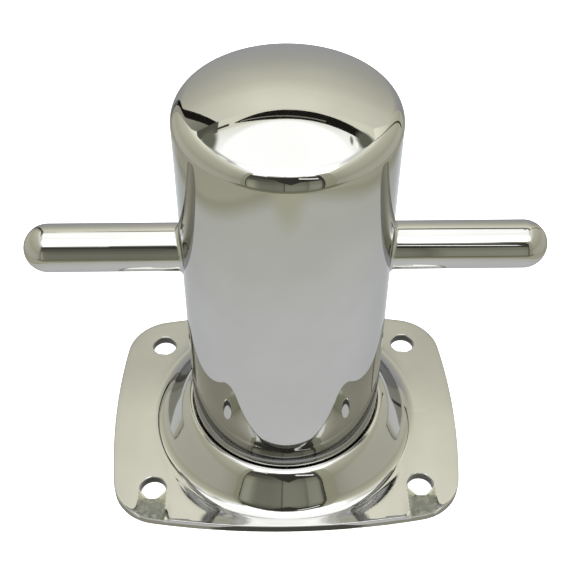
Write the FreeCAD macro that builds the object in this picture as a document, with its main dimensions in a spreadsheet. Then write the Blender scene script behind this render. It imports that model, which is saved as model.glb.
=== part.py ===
"""Cross bollard for a boat deck: a capped tube post on a pressed base plate, with a round bar through it.

Frame: millimetres, +Z up, origin at the middle of the base plate's underside, crossbar along X.
Every piece is welded to its neighbours, so nothing moves.
"""
import FreeCAD, Part
import math
import os

import Sketcher

V = FreeCAD.Vector

DIMENSIONS = [
    ("plate_length", 114.0, "base plate, along the crossbar"),
    ("plate_width", 90.0, "base plate, across the crossbar"),
    ("plate_sheet", 3.0, "thickness of the sheet that the base plate is pressed from"),
    ("side_bow", 213.0, "radius of the plate's two short sides"),
    ("end_bow", 250.0, "radius of the plate's two long sides"),
    ("corner_radius", 15.4, "plate corners"),
    ("plate_edge_round", 0.3, "polished round on the plate's top edge"),
    ("bolt_spacing_x", 85.0, "between the deck bolts, along X"),
    ("bolt_spacing_y", 60.0, "between the deck bolts, along Y"),
    ("bolt_hole", 8.0, "diameter, clears a 5/16 in bolt"),
    ("bolt_rim_round", 0.5, "polished round on each hole's top rim"),
    ("boss_height", 13.1, "top of the pressed boss above the deck"),
    ("boss_hole", 61.0, "diameter of the hole that the post stands in"),
    ("boss_rim_round", 0.3, "polished round on that hole's rim"),
    ("boss_lip", 2.4, "convex radius from the rim outwards"),
    ("boss_lip_tilt", 34.0, "tilt at which the lip runs into the shoulder, in degrees"),
    ("boss_shoulder", 12.4, "convex radius from the lip down to the boss wall"),
    ("boss_slope", 50.6, "tilt of the straight boss wall, in degrees"),
    ("boss_foot", 6.4, "concave radius at the bottom of the boss wall"),
    ("post_diameter", 60.3, "tube, the 2 inch nominal pipe size"),
    ("post_wall", 2.5, "tube wall"),
    ("post_foot", 1.0, "tube's lower end above the deck"),
    ("cap_top", 134.4, "highest point of the cap"),
    ("cap_crown", 72.2, "radius of the cap's dished crown"),
    ("cap_edge", 5.8, "radius of the cap's rounded edge"),
    ("seam_height", 117.0, "middle of the seam between the tube and the cap"),
    ("seam_root", 1.2, "seam weld's width at the tube's inside"),
    ("seam_face", 3.2, "seam weld's width at the tube's outside"),
    ("seam_bead", 0.7, "radius of the seam weld's bead at the tube's inside"),
    ("bar_diameter", 14.1, "crossbar"),
    ("bar_length", 150.0, "crossbar, over its round ends"),
    ("bar_height", 79.3, "crossbar's axis above the deck"),
    ("bar_play", 0.1, "gap between the crossbar and its holes, on the radius"),
    ("bar_weld", 1.5, "radius of the fillet weld between the crossbar and the post"),
    ("foot_weld_leg", 4.5, "foot weld's length down the tube, below the boss lip"),
    ("foot_weld_reach", 42.0, "tilt of the boss shoulder's inside where the foot weld ends, in degrees"),
]

# Formulas in the sheet's aliases, used for the sizes of sketches and features.
POST_R = "sizes.post_diameter / 2"
POST_BORE_R = "(sizes.post_diameter / 2 - sizes.post_wall)"
BAR_R = "sizes.bar_diameter / 2"
BOSS_HOLE_R = "sizes.boss_hole / 2"
BOSS_RIM_R = "(sizes.boss_hole / 2 + sizes.boss_rim_round)"
LIP_STEP = "(sizes.boss_shoulder - sizes.boss_lip)"
SHOULDER_X = "(%s - %s * sin(sizes.boss_lip_tilt))" % (BOSS_RIM_R, LIP_STEP)
SHOULDER_Z = "(sizes.boss_height - sizes.boss_lip - %s * cos(sizes.boss_lip_tilt))" % LIP_STEP
UNDER_R = "(sizes.boss_shoulder - sizes.plate_sheet)"
UNDER_RIM_Z = "(%s + sqrt(%s^2 - (%s - %s)^2))" % (SHOULDER_Z, UNDER_R, BOSS_HOLE_R, SHOULDER_X)
FOOT_Z = "(sizes.plate_sheet + sizes.boss_foot)"
ROUNDS = "(sizes.boss_shoulder + sizes.boss_foot)"
WALL_DROP = "(%s - %s + %s * cos(sizes.boss_slope))" % (SHOULDER_Z, FOOT_Z, ROUNDS)
WALL_RUN = "(%s / tan(sizes.boss_slope))" % WALL_DROP
FOOT_R = "(%s + %s * sin(sizes.boss_slope) + %s)" % (SHOULDER_X, ROUNDS, WALL_RUN)
CROWN_Z = "(sizes.cap_top - sizes.cap_crown)"
EDGE_COS = "((sizes.post_diameter / 2 - sizes.cap_edge) / (sizes.cap_crown - sizes.cap_edge))"
EDGE_SIN = "sqrt(1 - %s * %s)" % (EDGE_COS, EDGE_COS)
EDGE_Z = "(%s + (sizes.cap_crown - sizes.cap_edge) * %s)" % (CROWN_Z, EDGE_SIN)


def make_sheet():
    page = doc.addObject("Spreadsheet::Sheet", "sizes")
    for row, (alias, size, note) in enumerate(DIMENSIONS, start=1):
        page.set("A%d" % row, alias)
        page.set("B%d" % row, str(size))
        page.set("C%d" % row, note)
        page.setAlias("B%d" % row, alias)
    doc.recompute()
    return page


doc = FreeCAD.newDocument("bollard")
sheet = make_sheet()


def value(formula):
    """The number that a formula in the sheet's aliases gives now."""
    return float(sheet.evalExpression(formula))


# ---------------------------------------------------------------- sketches and features

def make_body(name):
    body = doc.addObject("PartDesign::Body", name)
    body.Label = name
    return body


def base_plane(body, role):
    return next(item for item in body.Origin.OriginFeatures if item.Role == role)


def make_sketch(body, name, role):
    sketch = body.newObject("Sketcher::SketchObject", name)
    sketch.AttachmentSupport = [(base_plane(body, role), "")]
    sketch.MapMode = "FlatFace"
    return sketch


def set_size(sketch, kind, places, formula):
    """Add one dimension to a sketch and bind it to a formula."""
    index = sketch.addConstraint(Sketcher.Constraint(kind, *places, value(formula)))
    sketch.setExpression("Constraints[%d]" % index, formula)


def place_point(sketch, geometry, end, across, up):
    """Fix one end of a curve at a point given by two formulas."""
    origin = (-1, 1)
    for kind, formula, axis in (("DistanceX", across, -2), ("DistanceY", up, -1)):
        if abs(value(formula)) < 1e-9:
            sketch.addConstraint(Sketcher.Constraint("PointOnObject", geometry, end, axis))
        else:
            set_size(sketch, kind, origin + (geometry, end), formula)


def arc_through(start, end, radius, turns_left):
    """The shorter arc from start to end, and whether start is its first point."""
    chord = end - start
    middle = (start + end) * 0.5
    left = V(-chord.y, chord.x, 0).normalize()
    offset = math.sqrt(max(radius**2 - (chord.Length / 2)**2, 0))
    centre = middle + left * (offset if turns_left else -offset)
    first, last = (start, end) if turns_left else (end, start)
    angles = [math.atan2(point.y - centre.y, point.x - centre.x) for point in (first, last)]
    circle = Part.Circle(centre, V(0, 0, 1), radius)
    return Part.ArcOfCircle(circle, angles[0], angles[1]), turns_left


def draw_profile(sketch, steps):
    """Draw a closed outline. Each step is (x, y), reached by a line, or (x, y, radius, turn), by an arc."""
    corners = [V(value(step[0]), value(step[1]), 0) for step in steps]
    ends = []
    for number, step in enumerate(steps):
        start, end = corners[number - 1], corners[number]
        if len(step) == 2:
            geometry = sketch.addGeometry(Part.LineSegment(start, end))
            ends.append((geometry, 1, 2))
        else:
            arc, forward = arc_through(start, end, value(step[2]), step[3] == "left")
            geometry = sketch.addGeometry(arc)
            ends.append((geometry, 1, 2) if forward else (geometry, 2, 1))
            set_size(sketch, "Radius", (geometry,), step[2])
    for number, step in enumerate(steps):
        geometry, _, last = ends[number]
        following, first, _ = ends[(number + 1) % len(steps)]
        sketch.addConstraint(Sketcher.Constraint("Coincident", geometry, last, following, first))
        place_point(sketch, geometry, last, step[0], step[1])


def make_revolved(body, name, steps, role="XZ_Plane", axis="V_Axis"):
    sketch = make_sketch(body, name + "_profile", role)
    draw_profile(sketch, steps)
    feature = body.newObject("PartDesign::Revolution", name)
    feature.Profile = sketch
    feature.ReferenceAxis = (sketch, [axis])
    feature.Angle = 360
    doc.recompute()
    return feature


def make_pocket(body, name, sketch, both_ways):
    feature = body.newObject("PartDesign::Pocket", name)
    feature.Profile = sketch
    feature.Type = "ThroughAll"
    feature.SideType = "Symmetric" if both_ways else "One side"
    feature.Reversed = not both_ways
    before = body.Shape.Volume
    doc.recompute()
    if feature.Shape.Volume >= before - 1e-6:
        raise RuntimeError(name + " cut nothing")
    return feature


def make_fillet(body, name, base, edges, formula):
    feature = body.newObject("PartDesign::Fillet", name)
    feature.Base = (base, edges)
    feature.setExpression("Radius", formula)
    doc.recompute()
    return feature


def edges_where(shape, test):
    return ["Edge%d" % number for number, edge in enumerate(shape.Edges, start=1) if test(edge)]


# ---------------------------------------------------------------- base plate

def bow_centres():
    """Centres of the bowed sides, and of the corner round at +X +Y, as plain numbers."""
    side = value("sizes.plate_length / 2 - sizes.side_bow")
    end = value("sizes.plate_width / 2 - sizes.end_bow")
    side_reach = value("sizes.side_bow - sizes.corner_radius")
    end_reach = value("sizes.end_bow - sizes.corner_radius")
    apart = math.hypot(side, end)
    along = (side_reach**2 - end_reach**2 + apart**2) / (2 * apart)
    across = math.sqrt(side_reach**2 - along**2)
    corner_x = side + (-side * along - end * across) / apart
    corner_y = (end * along - side * across) / apart
    return side, end, corner_x, corner_y


def draw_outline(sketch):
    """Four bowed sides and four round corners, each tangent to the next."""
    side, end, corner_x, corner_y = bow_centres()
    side_turn = math.atan2(corner_y, corner_x - side)
    end_turn = math.atan2(corner_y - end, corner_x)
    half, full = math.pi / 2, math.pi
    sides = [("sizes.side_bow", side, 0), ("sizes.end_bow", 0, end),
             ("sizes.side_bow", -side, 0), ("sizes.end_bow", 0, -end)]
    breaks = [side_turn, end_turn, full - end_turn, full - side_turn]
    breaks += [angle + full for angle in breaks]
    corner_signs = [(1, 1), (-1, 1), (-1, -1), (1, -1)]
    start = breaks[-1] - 2 * full
    for quarter, (bow, x, y) in enumerate(sides):
        corner, after = breaks[2 * quarter], breaks[2 * quarter + 1]
        sketch.addGeometry(Part.ArcOfCircle(Part.Circle(V(x, y, 0), V(0, 0, 1), value(bow)), start, corner))
        sign_x, sign_y = corner_signs[quarter]
        centre = V(sign_x * corner_x, sign_y * corner_y, 0)
        round_corner = Part.Circle(centre, V(0, 0, 1), value("sizes.corner_radius"))
        sketch.addGeometry(Part.ArcOfCircle(round_corner, corner, after))
        start = after
    for arc in range(8):
        sketch.addConstraint(Sketcher.Constraint("Tangent", arc, 2, (arc + 1) % 8, 1))
    lengthwise = "sizes.plate_length / 2 - sizes.side_bow"
    crosswise = "sizes.plate_width / 2 - sizes.end_bow"
    centres = [(lengthwise, "0"), ("0", crosswise), ("-(%s)" % lengthwise, "0"), ("0", "-(%s)" % crosswise)]
    for quarter, (x, y) in enumerate(centres):
        place_point(sketch, 2 * quarter, 3, x, y)
        set_size(sketch, "Radius", (2 * quarter,), sides[quarter][0])
        set_size(sketch, "Radius", (2 * quarter + 1,), "sizes.corner_radius")


def on_shoulder(radius, tilt):
    """A point on the shoulder's arcs: outside at the shoulder radius, inside one sheet less."""
    return (SHOULDER_X + " + %s * sin(%s)" % (radius, tilt), SHOULDER_Z + " + %s * cos(%s)" % (radius, tilt))


def on_foot(radius, tilt):
    """A point on the foot's arcs: outside at the foot radius, inside one sheet more."""
    return (FOOT_R + " - %s * sin(%s)" % (radius, tilt), FOOT_Z + " - %s * cos(%s)" % (radius, tilt))


def boss_steps():
    """Section of the pressed boss: one sheet thick, convex from the lip down and concave at the foot."""
    slope = "sizes.boss_slope"
    under_foot = "(sizes.boss_foot + sizes.plate_sheet)"
    return [
        (BOSS_HOLE_R, "sizes.boss_height - sizes.boss_rim_round"),
        (BOSS_RIM_R, "sizes.boss_height", "sizes.boss_rim_round", "right"),
        on_shoulder("sizes.boss_shoulder", "sizes.boss_lip_tilt") + ("sizes.boss_lip", "right"),
        on_shoulder("sizes.boss_shoulder", slope) + ("sizes.boss_shoulder", "right"),
        on_foot("sizes.boss_foot", slope),
        (FOOT_R, "sizes.plate_sheet", "sizes.boss_foot", "left"),
        (FOOT_R, "0"),
        on_foot(under_foot, slope) + (under_foot, "right"),
        on_shoulder(UNDER_R, slope),
        (BOSS_HOLE_R, UNDER_RIM_Z, UNDER_R, "left"),
    ]


def make_base_plate():
    body = make_body("base_plate")
    outline = make_sketch(body, "plate_outline", "XY_Plane")
    draw_outline(outline)
    pad = body.newObject("PartDesign::Pad", "plate_sheet_pad")
    pad.Profile = outline
    pad.setExpression("Length", "sizes.plate_sheet")
    doc.recompute()
    top = value("sizes.plate_sheet")
    rim = edges_where(pad.Shape, lambda edge: all(abs(v.Z - top) < 1e-6 for v in edge.Vertexes))
    make_fillet(body, "plate_edge", pad, rim, "sizes.plate_edge_round")

    opening = make_sketch(body, "boss_outline", "XY_Plane")
    opening.addGeometry(Part.Circle(V(0, 0, 0), V(0, 0, 1), value(FOOT_R)))
    opening.addConstraint(Sketcher.Constraint("Coincident", 0, 3, -1, 1))
    set_size(opening, "Radius", (0,), FOOT_R)
    make_pocket(body, "boss_opening", opening, False)
    make_revolved(body, "boss", boss_steps())

    holes = make_sketch(body, "bolt_circles", "XY_Plane")
    for number, (sign_x, sign_y) in enumerate([("", ""), ("-", ""), ("-", "-"), ("", "-")]):
        x, y = sign_x + "sizes.bolt_spacing_x / 2", sign_y + "sizes.bolt_spacing_y / 2"
        radius = value("sizes.bolt_hole / 2")
        holes.addGeometry(Part.Circle(V(value(x), value(y), 0), V(0, 0, 1), radius))
        place_point(holes, number, 3, x, y)
        set_size(holes, "Radius", (number,), "sizes.bolt_hole / 2")
    drilled = make_pocket(body, "bolt_holes", holes, False)
    hole_radius = value("sizes.bolt_hole / 2")

    def is_top_rim(edge):
        return (isinstance(edge.Curve, Part.Circle) and abs(edge.Curve.Radius - hole_radius) < 1e-6
                and abs(edge.Curve.Center.z - top) < 1e-6)

    make_fillet(body, "bolt_rims", drilled, edges_where(drilled.Shape, is_top_rim), "sizes.bolt_rim_round")
    return body


# ---------------------------------------------------------------- post, cap and crossbar

def make_post_tube():
    body = make_body("post_tube")
    make_revolved(body, "tube", [
        (POST_BORE_R, "sizes.post_foot"),
        (POST_R, "sizes.post_foot"),
        (POST_R, "sizes.seam_height - sizes.seam_face / 2"),
        (POST_BORE_R, "sizes.seam_height - sizes.seam_root / 2"),
    ])
    circle = make_sketch(body, "bar_hole_circle", "YZ_Plane")
    circle.addGeometry(Part.Circle(V(0, value("sizes.bar_height"), 0), V(0, 0, 1), value(BAR_R)))
    place_point(circle, 0, 3, "0", "sizes.bar_height")
    set_size(circle, "Radius", (0,), BAR_R + " + sizes.bar_play")
    make_pocket(body, "bar_holes", circle, True)
    return body


def make_top_cap():
    """A dished cap: spherical crown, rounded edge and a short straight skirt, one wall thick."""
    body = make_body("top_cap")
    inner_crown = "(sizes.cap_crown - sizes.post_wall)"
    inner_edge = "(sizes.cap_edge - sizes.post_wall)"
    make_revolved(body, "cap", [
        (POST_BORE_R, "sizes.seam_height + sizes.seam_root / 2"),
        (POST_R, "sizes.seam_height + sizes.seam_face / 2"),
        (POST_R, EDGE_Z),
        ("sizes.cap_crown * " + EDGE_COS, CROWN_Z + " + sizes.cap_crown * " + EDGE_SIN,
         "sizes.cap_edge", "left"),
        ("0", "sizes.cap_top", "sizes.cap_crown", "left"),
        ("0", "sizes.cap_top - sizes.post_wall"),
        (inner_crown + " * " + EDGE_COS, CROWN_Z + " + " + inner_crown + " * " + EDGE_SIN,
         inner_crown, "right"),
        (POST_BORE_R, EDGE_Z, inner_edge, "right"),
    ])
    return body


def make_cap_seam_weld():
    """A full penetration weld, ground flush outside, with its root bead inside."""
    body = make_body("cap_seam_weld")
    make_revolved(body, "seam", [
        (POST_R, "sizes.seam_height - sizes.seam_face / 2"),
        (POST_R, "sizes.seam_height + sizes.seam_face / 2"),
        (POST_BORE_R, "sizes.seam_height + sizes.seam_root / 2"),
        (POST_BORE_R, "sizes.seam_height - sizes.seam_root / 2", "sizes.seam_bead", "left"),
    ])
    return body


def make_crossbar():
    body = make_body("crossbar")
    make_revolved(body, "bar", [
        ("-sizes.bar_length / 2", "0"),
        ("-sizes.bar_length / 2 + " + BAR_R, BAR_R, BAR_R, "right"),
        ("sizes.bar_length / 2 - " + BAR_R, BAR_R),
        ("sizes.bar_length / 2", "0", BAR_R, "right"),
    ], role="XY_Plane", axis="H_Axis")
    body.setExpression("Placement.Base.z", "sizes.bar_height")
    return body


# ---------------------------------------------------------------- welds

def make_foot_weld():
    """Fillet weld under the boss lip, filling the corner between the tube and the boss."""
    body = make_body("foot_weld")
    make_revolved(body, "fillet", [
        (POST_R, UNDER_RIM_Z + " - sizes.foot_weld_leg"),
        on_shoulder(UNDER_R, "sizes.foot_weld_reach"),
        (BOSS_HOLE_R, UNDER_RIM_Z, UNDER_R, "left"),
        (POST_R, UNDER_RIM_Z),
    ])
    return body


def make_cylinder(name, radius, length):
    cylinder = doc.addObject("Part::Cylinder", name)
    cylinder.setExpression("Radius", radius)
    cylinder.setExpression("Height", length)
    return cylinder


def make_crossbar_weld(name, side):
    """Fillet weld round one end of the bar where it leaves the post: the round between them, and no more."""
    post = make_cylinder(name + "_post", POST_R, "4 * sizes.bar_diameter")
    post.setExpression("Placement.Base.z", "sizes.bar_height - 2 * sizes.bar_diameter")
    stub = make_cylinder(name + "_stub", BAR_R, "sizes.post_diameter")
    stub.setExpression("Placement.Base.z", "sizes.bar_height")
    stub.Placement.Rotation = FreeCAD.Rotation(V(0, 1, 0), 90 * side)
    joined = doc.addObject("Part::Fuse", name + "_joined")
    joined.Base, joined.Tool = post, stub
    doc.recompute()
    rounded = doc.addObject("Part::Fillet", name + "_rounded")
    rounded.Base = joined
    radius = value("sizes.bar_weld")
    bar_reach = value(BAR_R) + 1e-3

    def is_meeting_line(edge):
        box = edge.BoundBox
        return not isinstance(edge.Curve, (Part.Circle, Part.Line)) and box.YLength <= 2 * bar_reach

    rounded.Edges = [(number, radius, radius) for number, edge in enumerate(joined.Shape.Edges, start=1)
                     if is_meeting_line(edge)]
    doc.recompute()
    weld = doc.addObject("Part::Cut", name)
    weld.Base, weld.Tool = rounded, joined
    weld.Label = name
    doc.recompute()
    return weld


# ---------------------------------------------------------------- checks and export

def check_document():
    for item in doc.Objects:
        if "Invalid" in item.State or "Error" in item.State:
            raise RuntimeError("%s: %s" % (item.Name, item.State))
        if item.TypeId == "Sketcher::SketchObject" and not item.FullyConstrained:
            raise RuntimeError("%s isn't fully constrained" % item.Name)


def check_piece(piece):
    shape = piece.Shape
    if shape.isNull() or not shape.isValid() or not shape.Solids:
        raise RuntimeError(piece.Label + " has no valid shape")


pieces = [
    make_base_plate(),
    make_post_tube(),
    make_top_cap(),
    make_cap_seam_weld(),
    make_crossbar(),
    make_foot_weld(),
    make_crossbar_weld("crossbar_weld_left", -1),
    make_crossbar_weld("crossbar_weld_right", 1),
]
doc.recompute()
check_document()
os.makedirs("parts", exist_ok=True)
for piece in pieces:
    check_piece(piece)
for piece in pieces:
    piece.Shape.exportStep("parts/%s.step" % piece.Label)
    box = piece.Shape.BoundBox
    print("%-20s %d solid  %9.1f mm3  x %.2f..%.2f  y %.2f..%.2f  z %.2f..%.2f" % (
        piece.Label, len(piece.Shape.Solids), piece.Shape.Volume,
        box.XMin, box.XMax, box.YMin, box.YMax, box.ZMin, box.ZMax))
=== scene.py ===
"""Looks of the cross bollard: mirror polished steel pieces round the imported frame, in a light tent."""

import math

import bmesh
import bpy
import numpy as np
from mathutils import Matrix, Vector, geometry


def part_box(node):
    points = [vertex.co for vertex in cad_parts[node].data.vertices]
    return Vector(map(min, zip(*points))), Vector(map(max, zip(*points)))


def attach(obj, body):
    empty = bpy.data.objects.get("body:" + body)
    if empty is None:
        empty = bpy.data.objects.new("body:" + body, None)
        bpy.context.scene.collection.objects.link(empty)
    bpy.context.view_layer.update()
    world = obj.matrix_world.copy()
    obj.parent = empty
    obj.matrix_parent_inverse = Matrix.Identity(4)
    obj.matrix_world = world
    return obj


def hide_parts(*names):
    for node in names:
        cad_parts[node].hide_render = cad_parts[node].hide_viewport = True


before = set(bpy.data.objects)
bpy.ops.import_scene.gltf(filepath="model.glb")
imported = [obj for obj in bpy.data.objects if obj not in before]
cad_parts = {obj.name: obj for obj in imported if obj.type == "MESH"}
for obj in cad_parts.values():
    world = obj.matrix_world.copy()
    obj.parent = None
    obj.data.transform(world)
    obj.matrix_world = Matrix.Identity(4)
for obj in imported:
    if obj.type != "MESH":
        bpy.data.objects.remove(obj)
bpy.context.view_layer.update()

MM = 0.001


# ---------------------------------------------------------------- sizes, in millimetres

def box_mm(node):
    """The lowest and highest corner of a CAD node, in millimetres."""
    low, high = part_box(node)
    return low / MM, high / MM


_, plate_high = box_mm("base_plate")
tube_low, tube_high = box_mm("post_tube")
cap_low, cap_high = box_mm("top_cap")
seam_low, seam_high = box_mm("cap_seam_weld")
bar_low, bar_high = box_mm("crossbar")
foot_low, foot_high = box_mm("foot_weld")

# The post, the crossbar and the fillet between them.
POST_R = tube_high.x
WALL = 2.5
BORE_R = POST_R - WALL
BAR_R = (bar_high.y - bar_low.y) / 2
BAR_Z = (bar_high.z + bar_low.z) / 2
BAR_END = bar_high.x
BAR_HOLE_R = BAR_R + 0.1
WELD_R = 1.5

# The cap, and the weld that joins it to the post.
CROWN_R = 72.2
CAP_EDGE_R = 5.8
SEAM_ROOT = 0.6
SEAM_BEAD = 0.7

# The plate, its outline and its bolt holes.
PLATE_T = 3.0
SIDE_BOW = 213.0
END_BOW = 250.0
CORNER_R = 15.4
EDGE_ROUND = 0.3
HOLE_R = 4.0
HOLE_RIM = 0.5
HOLE_X = 42.5
HOLE_Y = 30.0
HOLES = [(HOLE_X, HOLE_Y), (-HOLE_X, HOLE_Y), (-HOLE_X, -HOLE_Y), (HOLE_X, -HOLE_Y)]

# The boss pressed into the plate. Angles are in degrees.
BOSS_TOP = plate_high.z
BOSS_HOLE_R = 30.5
BOSS_RIM = 0.3
BOSS_LIP = 2.4
BOSS_LIP_TILT = 34.0
BOSS_SHOULDER = 12.4
BOSS_SLOPE = 50.6
BOSS_FOOT = 6.4

# What polishing did to the plate's top: wear of the edge and of the hole rims, the tails, the raised
# margin, the shallow sag and the climb towards the boss. Only the visual model has these.
EDGE_WEAR = 0.03
EDGE_WEAR_REACH = 0.9
RIM_WEAR = 0.04
RIM_WEAR_REACH = 1.2
TAIL_SLOPE = 0.045
TAIL_START = 33.4
TAIL_HALF_WIDTH = 4.9
TAIL_SOFTNESS = 0.3
MARGIN_RISE = 0.20
MARGIN_START = 33.0
MARGIN_WIDTH = 10.0
SAG_DEPTH = 0.035
SAG_SCALE_X = 13.0
SAG_SHIFT_X = 0.6
SAG_SCALE_Y = 11.0
SAG_SHIFT_Y = -0.4
SAG_FADE = 8.0
CLIMB = 0.0021
CLIMB_REACH = 4.8
CLIMB_FADE = 6.0

# The bead of the hidden foot weld.
BEAD_BULGE = 0.45
BEAD_RIPPLE = 0.12
BEAD_RIPPLES = 60
BEAD_SLANT = 1.6

# How finely the meshes are divided.
AROUND = 360
HOLE_AROUND = 72
GRID_STEP = 0.8
FOOT_RINGS = 9
FOOT_RING_STEP = 0.55
RIM_CLEARANCE = 0.5
EDGE_CLEARANCE = 0.6
PATCH = 24  # columns on each side of a bar hole's middle that belong to its patch
PATCH_RINGS = 14
PATCH_CROWDING = 1.25
ROWS_BELOW = 24
ROWS_ABOVE = 12
BEAD_AROUND = 540
BEAD_STEPS = 8


# ---------------------------------------------------------------- curves

def sind(angle):
    return math.sin(math.radians(angle))


def cosd(angle):
    return math.cos(math.radians(angle))


def arc(x, y, radius, start, end, count):
    """Points on an arc, in degrees, its first point left out."""
    angles = [start + (end - start) * step / count for step in range(1, count + 1)]
    return [(x + radius * cosd(angle), y + radius * sind(angle)) for angle in angles]


def line(start, end, count):
    """Points on a line, its first point left out."""
    shares = [step / count for step in range(1, count + 1)]
    return [(start[0] + (end[0] - start[0]) * s, start[1] + (end[1] - start[1]) * s) for s in shares]


def circle(x, y, radius, count):
    """A closed loop of points, anticlockwise."""
    turns = [2 * math.pi * step / count for step in range(count)]
    return [(x + radius * math.cos(turn), y + radius * math.sin(turn)) for turn in turns]


# ---------------------------------------------------------------- meshes

def finish_mesh(name, vertices, faces, smooth_angle=38):
    """A welded, consistently turned and smooth mesh object from points in millimetres."""
    mesh = bpy.data.meshes.new(name)
    mesh.from_pydata([Vector(point) * MM for point in vertices], [], faces)
    work = bmesh.new()
    work.from_mesh(mesh)
    bmesh.ops.remove_doubles(work, verts=work.verts, dist=1e-7)
    bmesh.ops.dissolve_degenerate(work, edges=work.edges, dist=1e-8)
    bmesh.ops.recalc_face_normals(work, faces=work.faces)
    work.to_mesh(mesh)
    work.free()
    mesh.shade_smooth()
    mesh.set_sharp_from_angle(angle=math.radians(smooth_angle))
    piece = bpy.data.objects.new(name, mesh)
    bpy.context.scene.collection.objects.link(piece)
    return piece


class Shell:
    """Collects rings of points and the faces between them."""

    def __init__(self):
        self.vertices = []
        self.faces = []

    def ring(self, points):
        first = len(self.vertices)
        self.vertices.extend(points)
        return range(first, first + len(points))

    def bridge(self, lower, upper):
        for here, low in enumerate(lower):
            there = (here + 1) % len(lower)
            self.faces.append((low, lower[there], upper[there], upper[here]))

    def rings(self, loops):
        made = [self.ring(loop) for loop in loops]
        for lower, upper in zip(made, made[1:]):
            self.bridge(lower, upper)
        return made

    def lathe(self, profile, count=AROUND):
        """Turn a profile of (radius, height) about the Z axis. A radius of 0 becomes a fan."""
        loops = []
        for radius, height in profile:
            loops.append([(x, y, height) for x, y in circle(0, 0, max(radius, 1e-5), count)])
        return self.rings(loops)

    def sheet(self, outer, inner_loops, extra, height, area):
        """Fill between closed loops in a plane, through extra points, with triangles."""
        points, edges = [], []
        for loop in [outer] + inner_loops:
            first = len(points)
            points.extend(loop)
            size = len(loop)
            edges.extend((first + here, first + (here + 1) % size) for here in range(size))
        points.extend(extra)
        found = geometry.delaunay_2d_cdt([Vector(point) for point in points], edges, [], 0, 1e-6)
        first = len(self.vertices)
        self.vertices.extend((point.x, point.y, height) for point in found[0])
        for face in found[2]:
            middle = sum((found[0][corner] for corner in face), Vector((0, 0))) / len(face)
            if area(middle):
                self.faces.append(tuple(first + corner for corner in face))

    def build(self, name, **options):
        return finish_mesh(name, self.vertices, self.faces, **options)


# ---------------------------------------------------------------- base plate

def plate_outline(inset):
    """The plate's outline moved inwards: four bowed sides and four round corners, as a closed loop."""
    side = plate_high.x - SIDE_BOW
    end = plate_high.y - END_BOW
    side_reach, end_reach = SIDE_BOW - CORNER_R, END_BOW - CORNER_R
    apart = math.hypot(side, end)
    along = (side_reach**2 - end_reach**2 + apart**2) / (2 * apart)
    across = math.sqrt(side_reach**2 - along**2)
    corner_x = side + (-side * along - end * across) / apart
    corner_y = (end * along - side * across) / apart
    side_turn = math.degrees(math.atan2(corner_y, corner_x - side))
    end_turn = math.degrees(math.atan2(corner_y - end, corner_x))
    quarter = arc(side, 0, SIDE_BOW - inset, 0, side_turn, 40)
    quarter += arc(corner_x, corner_y, CORNER_R - inset, side_turn, end_turn, 30)
    quarter += arc(0, end, END_BOW - inset, end_turn, 90, 50)
    start = (plate_high.x - inset, 0)
    left = [(-x, y) for x, y in reversed([start] + quarter[:-1])]
    upper = [start] + quarter + left
    lower = [(x, -y) for x, y in reversed(upper[1:-1])]
    return upper + lower


def boss_profiles():
    """Outer and inner section of the pressed boss, each from the hole to the foot."""
    step = BOSS_SHOULDER - BOSS_LIP
    rim_x = BOSS_HOLE_R + BOSS_RIM
    x = rim_x - step * sind(BOSS_LIP_TILT)
    z = BOSS_TOP - BOSS_LIP - step * cosd(BOSS_LIP_TILT)
    foot_z = PLATE_T + BOSS_FOOT
    rounds = BOSS_SHOULDER + BOSS_FOOT
    drop = z - foot_z + rounds * cosd(BOSS_SLOPE)
    foot_x = x + rounds * sind(BOSS_SLOPE) + drop / math.tan(math.radians(BOSS_SLOPE))
    under = BOSS_SHOULDER - PLATE_T
    under_tilt = math.degrees(math.asin((BOSS_HOLE_R - x) / under))
    under_z = z + under * cosd(under_tilt)

    outer = [(BOSS_HOLE_R, under_z)]
    outer += line((BOSS_HOLE_R, under_z), (BOSS_HOLE_R, BOSS_TOP - BOSS_RIM), 3)
    outer += arc(rim_x, BOSS_TOP - BOSS_RIM, BOSS_RIM, 180, 90, 8)
    outer += arc(rim_x, BOSS_TOP - BOSS_LIP, BOSS_LIP, 90, 90 - BOSS_LIP_TILT, 16)
    outer += arc(x, z, BOSS_SHOULDER, 90 - BOSS_LIP_TILT, 90 - BOSS_SLOPE, 24)
    wall_top = outer[-1]
    foot = arc(foot_x, foot_z, BOSS_FOOT, 270 - BOSS_SLOPE, 270, 32)
    wall_foot = (foot_x - BOSS_FOOT * sind(BOSS_SLOPE), foot_z - BOSS_FOOT * cosd(BOSS_SLOPE))
    outer += line(wall_top, wall_foot, 6) + foot

    inner = [(BOSS_HOLE_R, under_z)]
    inner += arc(x, z, under, 90 - under_tilt, 90 - BOSS_SLOPE, 12)
    under_foot = BOSS_FOOT + PLATE_T
    wall_end = (foot_x - under_foot * sind(BOSS_SLOPE), foot_z - under_foot * cosd(BOSS_SLOPE))
    under_reach = math.degrees(math.acos(foot_z / under_foot)) if foot_z < under_foot else 0
    inner += line(inner[-1], wall_end, 4)
    inner += arc(foot_x, foot_z, under_foot, 270 - BOSS_SLOPE, 270 - under_reach, 14)
    return outer, inner, foot_x


def grid_points(step, keep):
    """Points of a triangular grid over the plate, where keep says yes."""
    across = int(plate_high.x / step) + 1
    up = int(plate_high.y / (step * 0.866)) + 1
    points = []
    for row in range(-up, up + 1):
        shift = step / 2 if row % 2 else 0
        for column in range(-across, across + 1):
            x, y = column * step + shift, row * step * 0.866
            if keep(x, y):
                points.append((x, y))
    return points


def distance_to(loop, points):
    """Each point's distance to the nearest corner of a closed loop."""
    corners = np.array(loop)
    return np.array([np.hypot(*(corners - point).T).min() for point in points])


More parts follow.
